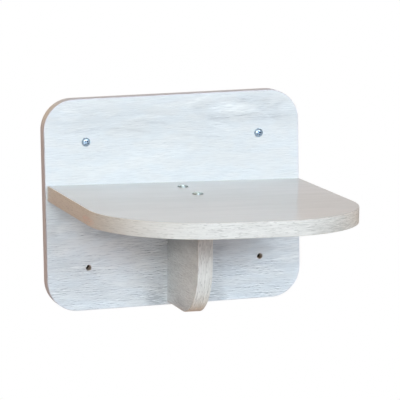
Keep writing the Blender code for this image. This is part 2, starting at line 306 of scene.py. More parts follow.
    # The dashes gather in bands and break along the grain, and they are deepest low on the panel.
    gather = 0.40 + ease(spots(sloped, 0.040, 0.012, shift=11.0), 0.38, 0.60) * 0.60
    breaks = 0.35 + ease(spots(sloped, 0.0034, 0.0022, detail=1.0, shift=17.0), 0.44, 0.56) * 0.90
    long_strokes = strokes(sloped, 0.0150, 0.00140, 7.0)
    short_strokes = strokes(sloped, 0.0055, 0.00110, 13.0)
    depth = 0.31 + ease(x, -0.060, -0.010) * 0.05 + ease(y, 0.040, 0.060) * 0.06
    depth = (depth + lower * 0.86 + ease(y, -0.065, -0.100) * 0.36) * (1.0 - calm)
    depth = depth + oval(x, y, (-0.060, -0.066), 0.060, 0.018) * 0.40
    dashes = (long_strokes * 0.76 + short_strokes * 0.66) * breaks * gather * depth
    dashes = dashes + growth_lines * (0.35 + streaks * 0.85) * toward_room
    pores = ease(spots(wander, 0.0100, 0.00080, detail=1.0, shift=5.0), 0.60, 0.70)
    amount = 0.5 + tone + dashes - pores * (0.06 + lower * 0.22)
    inks = {"stops": ((0.0, (0.460, 0.475, 0.480, 1)), (0.25, (0.632, 0.647, 0.650, 1)),
                      (0.5, (0.775, 0.790, 0.788, 1)), (0.75, (0.893, 0.907, 0.900, 1)),
                      (1.0, (0.960, 0.970, 0.960, 1)))}
    printed = amount.node("ShaderNodeValToRGB", inks, {"Fac": amount * 0.5 + 0.25})

    # The ink drifts a little between cool and warm.
    warmer = ease(spots(wander, 0.030, 0.012, detail=2.0, shift=23.0), 0.36, 0.64)
    drift = tint(warmer, (0.991, 1.0, 1.009, 1), (1.009, 1.0, 0.991, 1))
    colour = drift.node("ShaderNodeMix", {"data_type": "RGBA", "blend_type": "MULTIPLY"},
                        {0: 1.0, 6: printed, 7: drift}, 2)
    join(colour, shader, "Base Color")
    sheen = 0.42 + (spots(wander, 0.030, 0.004, shift=2.0) - 0.5) * 0.16 + pores * 0.12
    join(sheen, shader, "Roughness")
    relief = dashes + pores * -0.5 + spots(place, 0.0008, 0.0008, 0.001, 1.0) * 0.10
    join(bump(relief, 0.35, 0.00012), shader, "Normal")
    return material


def pressed_chips(place):
    """Wood chips pressed into a board: a shade for each chip, and the dust between them."""
    chips = place.node("ShaderNodeTexVoronoi", {"feature": "F1"},
                       {"Vector": place, "Scale": chips_per_metre}, 1)
    return split(chips)[0], spots(place, 0.0006, 0.0006, 0.0006, 3.0)


def chipboard_finish():
    """Chipboard as it shows in a screw's hole and on an edge that is not taped."""
    material, shader, place = new_finish("chipboard")
    chip_shade, dust = pressed_chips(place)
    amount = chip_shade * 0.55 + dust * 0.45
    woods = {"stops": ((0.1, (0.380, 0.320, 0.270, 1)), (0.5, (0.600, 0.530, 0.460, 1)),
                       (0.9, (0.760, 0.700, 0.620, 1)))}
    join(amount.node("ShaderNodeValToRGB", woods, {"Fac": amount}), shader, "Base Color")
    join(0.80 + dust * 0.18, shader, "Roughness")
    join(bump(amount, 0.8, 0.0004), shader, "Normal")
    return material


def drilled_finish():
    """The same chips cut through by a drill, painted nearly black toward the wall as painted shade deep in
    the hole.
    """
    material, shader, place = new_finish("drilled_core")
    chip_shade, dust = pressed_chips(place)
    amount = chip_shade * 0.5 + dust * 0.5
    toward_room = split(place)[2]
    fresh = tint(ease(amount, 0.1, 0.9), (0.50, 0.42, 0.36, 1), (0.84, 0.75, 0.66, 1))
    painted_hole_shade = ease(toward_room + (dust - 0.5) * 0.004, -0.0005, -0.0045)
    join(tint(painted_hole_shade, fresh, (0.012, 0.010, 0.009, 1)), shader, "Base Color")
    join(0.82 + dust * 0.16, shader, "Roughness")
    join(bump(amount, 0.8, 0.0004), shader, "Normal")
    return material


def torn_rim_finish():
    """The broken lip of laminate round a drilled hole: pale paper fibres with brown core between."""
    material, shader, place = new_finish("torn_rim")
    fibres = spots(place, 0.0007, 0.0004, 0.0006, 3.0)
    join(tint(ease(fibres, 0.30, 0.55), (0.62, 0.56, 0.52, 1), (0.95, 0.94, 0.93, 1)), shader, "Base Color")
    join(0.65 + fibres * 0.25, shader, "Roughness")
    join(bump(fibres, 0.7, 0.0002), shader, "Normal")
    return material


def corner_path(centre_x, centre_y, radius, start, turn=90, steps=32):
    """Points round a corner. Each has its place and the way that it faces. Angles are in degrees."""
    points = []
    for step in range(steps + 1):
        angle = math.radians(start + turn * step / steps)
        out_x, out_y = math.cos(angle), math.sin(angle)
        points.append((centre_x + radius * out_x, centre_y + radius * out_y, out_x, out_y))
    return points


def inner_line(path):
    """A path's points moved in by the thickness of the tape: the edge of the board itself."""
    return [(x - out_x * tape_thickness, y - out_y * tape_thickness) for x, y, out_x, out_y in path]


def new_mesh(name, vertices, faces, finishes, finish_of_face=()):
    """A mesh and its finishes. All of it has the first, unless each face is given its finish's number."""
    mesh = bpy.data.meshes.new(name)
    mesh.from_pydata(vertices, [], faces)
    for finish in finishes:
        mesh.materials.append(finish)
    if finish_of_face:
        mesh.polygons.foreach_set("material_index", finish_of_face)
    return mesh


def board_mesh(name, outline, finishes):
    """A flat board in its own XY plane. Its two faces have the first finish, and its core the second."""
    half = board_thickness / 2
    count = len(outline)
    vertices = [(x, y, half) for x, y in outline] + [(x, y, -half) for x, y in outline]
    faces = [tuple(range(count)), tuple(reversed(range(count, 2 * count)))]
    for index in range(count):
        following = (index + 1) % count
        faces.append((index, count + index, count + following, following))
    return new_mesh(name, vertices, faces, finishes, [0, 0] + [1] * count)


def turned_mesh(name, profile, finishes, steps=48, second=()):
    """A turned shape. Its profile runs down from the axis and back to it, in radius and height. The bands
    of faces whose numbers are in second take the second finish."""
    vertices = [(0, 0, profile[0][1])]
    for radius, height in profile[1:-1]:
        for step in range(steps):
            angle = 2 * math.pi * step / steps
            vertices.append((radius * math.cos(angle), radius * math.sin(angle), height))
    vertices.append((0, 0, profile[-1][1]))
    last = len(vertices) - 1
    rings = len(profile) - 2
    faces, finish_of_face = [], []
    for step in range(steps):
        beside = (step + 1) % steps
        faces.append((0, 1 + step, 1 + beside))
        finish_of_face.append(1 if 0 in second else 0)
        for ring in range(rings - 1):
            upper, lower = 1 + ring * steps, 1 + (ring + 1) * steps
            faces.append((upper + step, lower + step, lower + beside, upper + beside))
            finish_of_face.append(1 if ring + 1 in second else 0)
        lower = 1 + (rings - 1) * steps
        faces.append((lower + step, last, lower + beside))
        finish_of_face.append(1 if rings in second else 0)
    return new_mesh(name, vertices, faces, finishes, finish_of_face)


def new_piece(name, mesh, place):
    """A mesh in the scene at its place."""
    piece = bpy.data.objects.new(name, mesh)
    piece.matrix_world = place
    bpy.context.scene.collection.objects.link(piece)
    return piece


def carve(piece, tool_mesh, tool_place, operation="DIFFERENCE"):
    """Cut a solid out of a piece, or weld one on, at a place in the piece's own frame."""
    tool = new_piece("tool", tool_mesh, piece.matrix_world @ tool_place)
    boolean = piece.modifiers.new("carve", "BOOLEAN")
    boolean.operation = operation
    boolean.solver = "EXACT"
    boolean.material_mode = "TRANSFER"
    boolean.object = tool
    evaluated = piece.evaluated_get(bpy.context.evaluated_depsgraph_get())
    piece_mesh = bpy.data.meshes.new_from_object(evaluated)
    piece_mesh.name = piece.name
    piece.modifiers.clear()
    piece.data = piece_mesh
    bpy.data.objects.remove(tool)


def drill(piece, standing, hole, places):
    """Cut the same hole at several places into a piece that stands where its own place says."""
    for place in places:
        carve(piece, hole, standing.inverted() @ place)


def shade_round(piece, degrees=30):
    """Shade smoothly, and keep an edge sharp where its faces turn by more than an angle."""
    piece.data.shade_smooth()
    piece.data.set_sharp_from_angle(angle=math.radians(degrees))


def fit(piece, node):
    """The piece rides on the one body and stands in for a CAD node, which it hides."""
    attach(piece, "root")
    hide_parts(node)


standing_panel = Matrix.Translation((0, -board_thickness / 2, 0)) @ Matrix.Rotation(math.pi / 2, 4, "X")
side_x = panel_width / 2 - panel_corner_radius
side_y = panel_height / 2 - panel_corner_radius
panel_path = [(tape_seam, -panel_height / 2, 0, -1)]
for centre_x, centre_y, start in ((side_x, -side_y, 270), (side_x, side_y, 0),
                                  (-side_x, side_y, 90), (-side_x, -side_y, 180)):
    panel_path += corner_path(centre_x, centre_y, panel_corner_radius, start)
panel_path.append((-tape_seam, -panel_height / 2, 0, -1))

chipboard = chipboard_finish()
torn_edge = torn_rim_finish()
panel_board = new_piece("panel_board", board_mesh("panel_board", inner_line(panel_path),
                                                  (panel_laminate(), chipboard)), standing_panel)

# The board's own +Z faces the room. The lip of a wall hole is torn a little wider at the front, and the
# last of the board has pushed a burr into it at the wall.
front_face = board_thickness / 2
wall_hole_depth = board_thickness + past_surface
lip_radius = wall_hole_radius + torn_rim
wall_hole = turned_mesh("wall_hole", [
    (0, past_surface), (lip_radius + past_surface, past_surface), (lip_radius, 0),
    (wall_hole_radius, -torn_rim * 0.7), (wall_hole_radius, -board_thickness + burr_depth),
    (burr_radius, -board_thickness + burr_depth * 0.4), (burr_radius, -wall_hole_depth),
    (0, -wall_hole_depth)], (drilled_finish(), torn_edge), second=(2,))
for x in (-wall_hole_x, wall_hole_x):
    for y in (-wall_hole_z, wall_hole_z):
        carve(panel_board, wall_hole, Matrix.Translation((x, y, front_face)))


def joint_screw_place(x, z):
    """The place of a joint screw on the panel's rear face, from its place across and up from the seat."""
    return shelf_seat @ Matrix.Translation((x, board_thickness, z)) @ Matrix.Rotation(-math.pi / 2, 4, "X")


countersink_radius = joint_screw_head_radius + hole_clearance
joint_screw_hole_radius = joint_screw_radius + hole_clearance
countersink_rim_depth = joint_screw_below_surface + countersink_rim
countersink_depth = joint_screw_below_surface + joint_screw_head_height
joint_screw_hole = turned_mesh("joint_screw_hole", [
    (0, past_surface), (countersink_radius, past_surface), (countersink_radius, -countersink_rim_depth),
    (joint_screw_hole_radius, -countersink_depth), (joint_screw_hole_radius, -joint_screw_hole_depth),
    (0, -joint_screw_hole_depth)], (chipboard,))
shelf_joint_places = [joint_screw_place(x, z) for x, z in shelf_joint_screws]
bracket_joint_places = [joint_screw_place(x, z) for x, z in bracket_joint_screws]
drill(panel_board, standing_panel, joint_screw_hole, shelf_joint_places + bracket_joint_places)
shade_round(panel_board)
fit(panel_board, "back_panel")


# Panel tape. Plastic edge tape, 0.8 mm thick and printed to match the boards, glued all round the panel's
# edge by a machine that rounds its two outer corners over. It starts and ends in the middle of the
# bottom edge.

tape_arris = 0.0005
arris_steps = 4


def tape_finish(name, ground, streak, contrast, middle_tone=0.57, busier_from=None,
                warm_patches=(), painted_light_and_shade_stretches=()):
    """Printed oak grain along the tape, from the tape's own map in metres: long faint lines with short dark
    and pale dashes. The grain may be fainter well before one place and stronger after it, some patches may
    be warmer, and some stretches are painted paler or darker, as painted light and shade."""
    material, shader, place = new_finish(name)
    flat = place.node("ShaderNodeUVMap", {"uv_map": "tape"}, {})
    wander = bent(flat, 0.050, 0.006, 0.0008)
    lines = spots(wander, 0.020, 0.00080, detail=3.0, roughness=0.6)
    patches = spots(wander, 0.030, 0.006, detail=2.0, shift=9.0)
    dark_dashes = ease(spots(wander, 0.0060, 0.00085, detail=1.0, shift=4.0), 0.58, 0.70)
    pale_dashes = ease(spots(wander, 0.0080, 0.00090, detail=1.0, shift=14.0), 0.58, 0.70)
    grain = (lines - 0.5) * 1.4 + (patches - 0.5) * 0.4 + pale_dashes * 0.3 - dark_dashes * 0.6
    along, across = split(flat)[:2]
    if busier_from is not None:
        quiet_left = ease(along, busier_from - 0.07, busier_from - 0.15) * 0.45
        grain = grain * (0.9 - quiet_left + ease(along, busier_from, busier_from + 0.06) * 0.60)
    amount = middle_tone + grain * contrast
    for middle, half_length, strength in painted_light_and_shade_stretches:
        amount = amount + oval(along, across, (middle, 0.0), half_length, 1.0) * strength
    colour = tint(ease(amount, 0.0, 1.0), streak, ground)
    for middle, half_length, half_height, warm_colour in warm_patches:
        warmth = oval(along, across, middle, half_length, half_height) * ease(lines, 0.42, 0.60)
        colour = tint(warmth, colour, warm_colour)
    join(colour, shader, "Base Color")
    join(0.40 + (patches - 0.5) * 0.2 + dark_dashes * 0.1, shader, "Roughness")
    join(bump(lines - dark_dashes * 0.5, 0.3, 0.00010), shader, "Normal")
    return material


def tape_mesh(name, path, finish):
    """Tape bent round a path. Its outer corners are rounded, and its map runs along and across it."""
    half = board_thickness / 2
    upper = [(-tape_thickness, half)]
    for step in range(arris_steps + 1):
        angle = math.radians(90 - 90 * step / arris_steps)
        upper.append((tape_arris * (math.cos(angle) - 1), half + tape_arris * (math.sin(angle) - 1)))
    section = upper + [(out, -height) for out, height in reversed(upper)]
    size = len(section)
    vertices, run, runs, before = [], 0.0, [], None
    for x, y, out_x, out_y in path:
        if before is not None:
            run += math.dist((x, y), before)
        before = (x, y)
        runs.append(run)
        vertices += [(x + out_x * out, y + out_y * out, height) for out, height in section]
    across = [0.0]
    for (out, height), (next_out, next_height) in zip(section, section[1:] + section[:1]):
        across.append(across[-1] + math.dist((out, height), (next_out, next_height)))
    faces, spread = [], []
    for index in range(len(path) - 1):
        for edge in range(size):
            beside = (edge + 1) % size
            faces.append((index * size + edge, index * size + beside,
                          (index + 1) * size + beside, (index + 1) * size + edge))
            spread += [(runs[index], across[edge]), (runs[index], across[edge + 1]),
                       (runs[index + 1], across[edge + 1]), (runs[index + 1], across[edge])]
    for index, order in ((0, range(size)), (len(path) - 1, reversed(range(size)))):
        end = tuple(index * size + corner for corner in order)
        faces.append(end[::-1])
        spread += [(runs[index] + section[corner % size][0], section[corner % size][1])
                   for corner in end[::-1]]
    mesh = new_mesh(name, vertices, faces, (finish,))
    layer = mesh.uv_layers.new(name="tape")
    layer.data.foreach_set("uv", [number for pair in spread for number in pair])
    return mesh


def glue_tape(name, node, path, finish, place):
    """One finished length of tape round a board that lies in the same place."""
    tape = new_piece(name, tape_mesh(name, path, finish), place)
    shade_round(tape)
    fit(tape, node)


# Its right side and its top are painted paler: painted light.
panel_tape_finish = tape_finish(
    "panel_tape_print", (0.755, 0.740, 0.780, 1), (0.510, 0.485, 0.495, 1), 0.44,
    painted_light_and_shade_stretches=((0.490, 0.170, 0.50), (0.230, 0.130, 0.50)))
glue_tape("panel_tape", "back_panel_edge_band", panel_path, panel_tape_finish, standing_panel)


# Shelf board. The same sheet, cut with two large round corners at the front. Its square rear edge stands
# against the panel, a little out of level, and two screws go down through the board into the bracket.

shelf_width = 0.278
shelf_depth = 0.280
shelf_corner_radius = 0.110
shelf_screw_x = 0.0
shelf_screw_rear_y = -0.0345
shelf_screw_front_y = -0.089
shelf_screw_hole_radius = 0.0024
shelf_screw_hole_depth = 0.046


def shelf_laminate():
    """A smooth print: long faint lines along the grain under a satin coat that mirrors the panel."""
    material, shader, place = new_finish("shelf_laminate")
    wander = bent(place, 0.090, 0.030, 0.0060)
    tone = (spots(wander, 0.110, 0.014, detail=3.0) - 0.5) * 0.8
    tone = tone + (spots(wander, 0.060, 0.0030, detail=2.0, shift=5.0) - 0.5) * 0.6
    tone = tone + (spots(wander, 0.012, 0.0012, detail=2.0, shift=8.0) - 0.5) * 0.5
    along, from_wall = split(place)[:2]
    tone = tone * (0.75 + ease(along, -0.080, -0.040) * 0.55)
    # Painted shade and light: the print is darker near the wall and over the front right, and paler at the
    # front and the front left.
    tone = tone - ease(from_wall, -0.080, 0.010) * 0.65 + ease(from_wall, -0.200, -0.280) * 0.30
    tone = tone + ease(from_wall, -0.100, -0.240) * ease(along, 0.080, -0.010) * 0.80
    tone = tone - ease(from_wall, -0.090, -0.170) * ease(along, 0.060, 0.130) * 0.30
    join(tint(ease(0.5 + tone, -1.0, 2.0), (0.618, 0.632, 0.624, 1), (0.909, 0.902, 0.888, 1)),
         shader, "Base Color")
    smears = spots(place, 0.080, 0.050, detail=2.0, shift=1.0)
    join(0.16 + (smears - 0.5) * 0.06, shader, "Roughness")
    relief = spots(wander, 0.014, 0.0016, detail=2.0, shift=8.0)
    join(bump(relief, 0.06, 0.00006), shader, "Normal")
    return material


shelf_flat = shelf_seat @ Matrix.Translation((shelf_middle_x, 0, -board_thickness / 2))
shelf_corner_x = shelf_width / 2 - shelf_corner_radius
shelf_corner_y = shelf_corner_radius - shelf_depth
shelf_path = [(-shelf_width / 2, 0, -1, 0)]
shelf_path += corner_path(-shelf_corner_x, shelf_corner_y, shelf_corner_radius, 180, steps=48)
shelf_path += corner_path(shelf_corner_x, shelf_corner_y, shelf_corner_radius, 270, steps=48)
shelf_path.append((shelf_width / 2, 0, 1, 0))

shelf_top = new_piece("shelf_top", board_mesh("shelf_top", inner_line(shelf_path),
                                              (shelf_laminate(), chipboard)), shelf_flat)
shelf_screw_hole = turned_mesh("shelf_screw_hole", [
    (0, past_surface), (shelf_screw_hole_radius, past_surface),
    (shelf_screw_hole_radius, -shelf_screw_hole_depth), (0, -shelf_screw_hole_depth)], (chipboard,))
shelf_screw_places = [shelf_seat @ Matrix.Translation((shelf_screw_x, y, 0))
                      for y in (shelf_screw_rear_y, shelf_screw_front_y)]
drill(shelf_top, shelf_flat, shelf_screw_hole, shelf_screw_places)
drill(shelf_top, shelf_flat, joint_screw_hole, shelf_joint_places)
shade_round(shelf_top)
fit(shelf_top, "shelf_board")


# Shelf tape. One length of the same edge tape, glued round both ends and the front of the shelf by the
# same machine. Its print is paler, with dark dashes, and a patch of it at the left corner is warmer.

# Stretches at the two front corners are painted darker: painted shade.
shelf_tape_finish = tape_finish(
    "shelf_tape_print", (0.842, 0.806, 0.750, 1), (0.550, 0.517, 0.468, 1), 1.0, 0.64, busier_from=0.42,
    warm_patches=(((0.167, 0.0112), 0.024, 0.0050, (0.84, 0.62, 0.54, 1)),),
    painted_light_and_shade_stretches=((0.215, 0.032, -0.17), (0.455, 0.026, -0.12), (0.505, 0.048, -0.18)))
glue_tape("shelf_tape", "shelf_edge_band", shelf_path, shelf_tape_finish, shelf_flat)


# Bracket board. A small piece of the same sheet on edge under the middle of the shelf, with its lower front
# corner cut round. Its top and rear edges are bare chipboard, hidden against the shelf and the panel.

bracket_depth = 0.112
bracket_height = 0.1123
bracket_corner_radius = 0.055


def bracket_laminate():
    """The same print, plainer: soft grey clouds and short faint strokes from the wall to the front, with
    painted shade and light over it.
    """
    material, shader, place = new_finish("bracket_laminate")
    wander = bent(place, 0.030, 0.012, 0.0030)
    tone = (spots(wander, 0.034, 0.0080, detail=3.0) - 0.5) * 0.9
    dashes = strokes(wander, 0.0130, 0.00140, 6.0)
    gather = 0.35 + ease(spots(wander, 0.045, 0.022, shift=11.0), 0.42, 0.58) * 0.65
    pores = ease(spots(wander, 0.0060, 0.00080, detail=1.0, shift=5.0), 0.56, 0.70)
    mottle = spots(wander, 0.0050, 0.0034, detail=2.0, shift=21.0) - 0.5
    from_wall, up = split(place)[:2]
    # Painted shade and light: darker along the top, in the shelf's shadow, most near the wall, and paler
    # toward the front. Along the bottom it is darker toward the front and paler by the wall. The strokes
    # fade in the painted shadow.
    below_painted_shadow = ease(up - from_wall * 0.15, -0.044, -0.070)
    shade = below_painted_shadow * 0.82 + ease(from_wall, 0.030, 0.080) * 0.16 - 0.50
    shade = shade - ease(up, -0.092, -0.108) * (ease(from_wall, 0.010, 0.050) * 0.70 - 0.18)
    marks = mottle * 0.9 + dashes * gather * 0.62 - pores * 0.20
    amount = 0.5 + tone * 0.9 + shade + marks * (0.3 + below_painted_shadow * 0.7)
    join(tint(ease(amount, -0.5, 1.5), (0.440, 0.468, 0.474, 1), (0.945, 0.990, 0.990, 1)),
         shader, "Base Color")
    join(0.45 + (gather - 0.5) * 0.1 + pores * 0.1, shader, "Roughness")
    join(bump(dashes, 0.3, 0.00010), shader, "Normal")
    return material


standing_bracket = (shelf_seat @ Matrix.Translation((bracket_middle_x, 0, -board_thickness))
                    @ Matrix.Rotation(-math.pi / 2, 4, "Z") @ Matrix.Rotation(math.pi / 2, 4, "X"))
bracket_path = [(bracket_depth, 0, 1, 0)]
bracket_path += corner_path(bracket_depth - bracket_corner_radius, bracket_corner_radius - bracket_height,
                            bracket_corner_radius, 0, turn=-90, steps=40)
bracket_path.append((0, -bracket_height, 0, -1))
bracket_outline = [(0, 0)] + inner_line(bracket_path)
bracket_board = new_piece("bracket_board", board_mesh("bracket_board", bracket_outline[::-1],
                                                      (bracket_laminate(), chipboard)), standing_bracket)
drill(bracket_board, standing_bracket, shelf_screw_hole, shelf_screw_places)
drill(bracket_board, standing_bracket, joint_screw_hole, bracket_joint_places)
shade_round(bracket_board)
fit(bracket_board, "support_bracket")


# Bracket tape. The same plastic edge tape, glued down the bracket's front edge, round the corner, and back
# along the underside. Its print is the boldest of the three, with dark lines close together.

# Near its bottom corner and at its top under the shelf, the tape is painted darker and warmer: painted
# shade and painted warm reflected light. Where the round corner meets the front edge it is painted paler:
# painted light.
bracket_tape_finish = tape_finish(
    "bracket_tape_print", (0.870, 0.832, 0.765, 1), (0.575, 0.535, 0.478, 1), 1.25,
    warm_patches=(((0.060, 0.0090), 0.034, 0.0300, (0.74, 0.56, 0.45, 1)),
                  ((0.200, 0.0090), 0.034, 0.0300, (0.60, 0.50, 0.42, 1))),
    painted_light_and_shade_stretches=((0.060, 0.050, -0.25), (0.142, 0.015, 0.20), (0.200, 0.032, -0.14)))
glue_tape("bracket_tape", "support_bracket_edge_band", bracket_path[::-1], bracket_tape_finish,
          standing_bracket)


# Wall screws. Zinc-plated pan-head screws, 4.8 by 50 mm, with a cross recess. They are cold-formed and
# thread-rolled from wire, and driven home in the panel's two upper holes.

wall_screw_length = 0.050
wall_screw_radius = 0.0024
wall_screw_root = 0.0017
wall_screw_pitch = 0.0018
wall_screw_plain_length = 0.004
wall_shank_overlap = 0.0006
wall_head_radius = 0.0046
wall_head_height = 0.0031
wall_head_rim = 0.0009
wall_head_bevel = 0.0003
wall_cross_width = 0.0052
wall_cross_blade = 0.0014
wall_cross_depth = 0.0022
wing_taper = 22
cross_sunk = 0.0001
punch_above = 0.001


def zinc_finish(name, clear, dull, roughness):
    """Zinc plating: soft grey metal, a little cloudy, with fine rolled and driven marks."""
    material, shader, place = new_finish(name)
    clouds = spots(place, 0.0016, 0.0016, 0.0016, 3.0)
    marks = spots(place, 0.0030, 0.00018, 0.0030, 2.0, shift=3.0)
    dullness = ease(clouds, 0.50, 0.72)
    join(tint(dullness, clear, dull), shader, "Base Color")
    shader.inputs["Metallic"].default_value = 1.0
    join(roughness + dullness * 0.10 + (marks - 0.5) * 0.14, shader, "Roughness")
    join(bump(marks + clouds * 0.8, 0.25, 0.00006), shader, "Normal")
    return material


def threaded_mesh(name, radius, root, pitch, top, plain_end, length, finish):
    """A screw's shank, closed at both ends. Below its plain part a thread winds down to the point, so each
    row of vertices sinks by one pitch as it goes round, and ends on the first column a turn lower."""
    columns_round = 24
    rows_per_turn = 8
    flank_share = 0.32
    plain_radius = radius * 0.93
    point_length = radius * 2.2
    bluntness = 0.02
    rows = int((length + top) / pitch * rows_per_turn)

    def radius_at(phase, height):
        crest = max(0.0, 1 - abs(phase - 0.5) / flank_share)
        depth = -height
        cut = min(1.0, max(0.0, (depth - plain_end) / pitch))
        body = root + (plain_radius - root) * (1 - cut)
        size = body + (radius - root) * crest * cut
        return size * min(1.0, max(bluntness, (length - depth) / point_length))

    columns, vertices, faces = [], [], []
    for column in range(columns_round):
        angle = 2 * math.pi * column / columns_round
        count = rows + rows_per_turn if column == 0 else rows
        numbers = []
        for row in range(count + 1):
            height = max(top - pitch * (row / rows_per_turn + column / columns_round), -length)
            size = radius_at((row % rows_per_turn) / rows_per_turn, height)
            numbers.append(len(vertices))
            vertices.append((size * math.cos(angle), size * math.sin(angle), height))
        columns.append(numbers)
    for here, beside in zip(columns, columns[1:] + [columns[0][rows_per_turn:]]):
        for row in range(rows):
            faces.append((here[row], here[row + 1], beside[row + 1], beside[row]))
    vertices += [(0, 0, top), (0, 0, -length)]
    upper, lower = len(vertices) - 2, len(vertices) - 1
    rim = [column[0] for column in columns] + columns[0][rows_per_turn:0:-1]
    for first, second in zip(rim, rim[1:] + rim[:1]):
        faces.append((upper, first, second))
    rim = [column[rows] for column in columns] + columns[0][:rows:-1]
    for first, second in zip(rim, rim[1:] + rim[:1]):
        faces.append((lower, second, first))
    return new_mesh(name, vertices, faces, (finish,))


def dome_profile(radius, base, height):
    """A low dome, from its top on the axis down to its edge."""
    steps = 10
    angles = [math.radians(90 * step / steps) for step in range(steps + 1)]
    return [(radius * math.sin(angle), base + height * math.cos(angle)) for angle in angles]


def cross_mesh(name, width, blade, depth, finishes):
    """The punch of a cross recess: four tapered wings round a short point, wide end upwards. The first
    finish is for the bottom of the recess and the second for its walls."""
    slope = math.tan(math.radians(wing_taper))
    outline = []
    for quarter in range(4):
        turn = math.radians(90 * quarter)
        cosine, sine = math.cos(turn), math.sin(turn)
        for x, y in ((width / 2, -blade / 2), (width / 2, blade / 2), (blade / 2, blade / 2)):
            outline.append((x * cosine - y * sine, x * sine + y * cosine))
    count = len(outline)
    upper = 1 + punch_above * slope / (width / 2)
    lower = 1 - depth * slope / (width / 2)
    vertices = [(x * upper, y * upper, punch_above) for x, y in outline]
    vertices += [(x * lower, y * lower, -depth) for x, y in outline]
    vertices.append((0, 0, -depth * 1.2))
    walls, bottom = [], []
    for index in range(count):
        following = (index + 1) % count
        walls.append((index, count + index, count + following, following))
        bottom.append((count + index, 2 * count, count + following))
    return new_mesh(name, vertices, [tuple(range(count))] + walls + bottom, finishes,
                    [0] + [1] * count + [0] * count)


def cross_place(head_height, degrees):
    """The place of a cross recess in the top of a head, at the angle where the screw came to rest."""
    return (Matrix.Translation((0, 0, head_height - cross_sunk))
            @ Matrix.Rotation(math.radians(degrees), 4, "Z"))


def drive_screw(name, node, place, head, shank, recess, recess_place):
    """One finished screw at its place: its head with the shank welded on and the recess cut in."""
    screw = new_piece(name, head.copy(), place)
    carve(screw, shank, Matrix.Identity(4), "UNION")
    carve(screw, recess, recess_place)
    shade_round(screw, 40)
    fit(screw, node)


blue_zinc = zinc_finish("blue_zinc", (0.54, 0.67, 0.80, 1), (0.40, 0.50, 0.60, 1), 0.44)
# The walls of each cross recess are painted dark: painted shade inside the recess.
recess_shade_zinc = zinc_finish("recess_shade_zinc", (0.09, 0.13, 0.19, 1), (0.06, 0.08, 0.12, 1), 0.50)
wall_head_profile = dome_profile(wall_head_radius, wall_head_rim, wall_head_height - wall_head_rim)
wall_head_profile += [(wall_head_radius, wall_head_bevel), (wall_head_radius - wall_head_bevel, 0), (0, 0)]
wall_head = turned_mesh("wall_screw_head", wall_head_profile, (blue_zinc,))
wall_shank = threaded_mesh("wall_screw_shank", wall_screw_radius, wall_screw_root, wall_screw_pitch,
                           wall_shank_overlap, wall_screw_plain_length, wall_screw_length, blue_zinc)
wall_cross = cross_mesh("wall_screw_cross", wall_cross_width, wall_cross_blade, wall_cross_depth,
                        (blue_zinc, recess_shade_zinc))
for name, node, x, degrees in (("left_wall_screw", "wall_screw_left", -wall_hole_x, 52),
                               ("right_wall_screw", "wall_screw_right", wall_hole_x, 24)):
    place = Matrix.Translation((x, -board_thickness, wall_hole_z)) @ Matrix.Rotation(math.pi / 2, 4, "X")
    drive_screw(name, node, place, wall_head, wall_shank, wall_cross,
                cross_place(wall_head_height, degrees))


# Shelf screws. Zinc-plated screws with a low dome on a wide thin flange, 4.2 by 45 mm. Their flanges lie
# flat on the shelf, and they hold it down on the bracket's top edge.

shelf_screw_length = 0.045
shelf_screw_radius = 0.0021
shelf_screw_root = 0.0015
shelf_screw_pitch = 0.0014
shelf_screw_plain_length = 0.003
shelf_shank_overlap = 0.0005
flange_radius = 0.00575
flange_thickness = 0.0009
shelf_head_height = 0.0022
shelf_cross_width = 0.0034
shelf_cross_blade = 0.0009
shelf_cross_depth = 0.0014

zinc = zinc_finish("clear_zinc", (0.60, 0.69, 0.68, 1), (0.48, 0.55, 0.54, 1), 0.36)
painted_highlight_zinc = zinc_finish("painted_highlight_zinc", (0.91, 1.00, 0.97, 1), (0.83, 0.91, 0.88, 1), 0.46)
painted_shade_zinc = zinc_finish("painted_shade_zinc", (0.37, 0.42, 0.42, 1), (0.26, 0.30, 0.30, 1), 0.42)

# The dome is painted pale, a painted highlight. The flange is painted dark, a painted shade, except close
# to the dome.
shelf_head_profile = [(0, shelf_head_height), (0.0010, 0.00217), (0.0018, 0.00207), (0.0026, 0.00187),
                      (0.0030, 0.00172), (0.00319, 0.0010), (0.0033, flange_thickness), (0.0042, 0.00089),
                      (0.00555, 0.00084), (flange_radius, 0.0001), (flange_radius, 0), (0, 0)]
painted_shade_bands = (7, 8, 9)
shelf_head = turned_mesh("shelf_screw_head", shelf_head_profile, (painted_highlight_zinc, painted_shade_zinc),
                         second=painted_shade_bands)
shelf_shank = threaded_mesh("shelf_screw_shank", shelf_screw_radius, shelf_screw_root, shelf_screw_pitch,
                            shelf_shank_overlap, shelf_screw_plain_length, shelf_screw_length, zinc)
shelf_cross = cross_mesh("shelf_screw_cross", shelf_cross_width, shelf_cross_blade, shelf_cross_depth,
                         (zinc, zinc))
rear_screw_place, front_screw_place = shelf_screw_places
for name, node, place, degrees in (("rear_shelf_screw", "shelf_screw_rear", rear_screw_place, 62),
                                   ("front_shelf_screw", "shelf_screw_front", front_screw_place, 70)):
    drive_screw(name, node, place, shelf_head, shelf_shank, shelf_cross,
                cross_place(shelf_head_height, degrees))


# Joint screws. Coarse-threaded 7 by 50 mm furniture screws with a countersunk head and a hexagonal socket.
# They go from behind the panel into the bare rear edges of the shelf and the bracket.

joint_screw_length = 0.050
joint_screw_root = 0.0024
joint_screw_pitch = 0.0030
joint_screw_neck_length = 0.004
joint_screw_plain_length = 0.0075
joint_shank_top = -0.0045
joint_head_bevel = 0.0002
joint_head_rim = 0.0005
socket_radius = 0.004 / math.sqrt(3)
socket_depth = 0.0026
socket_point = 0.0008
socket_turn_per_metre = 40

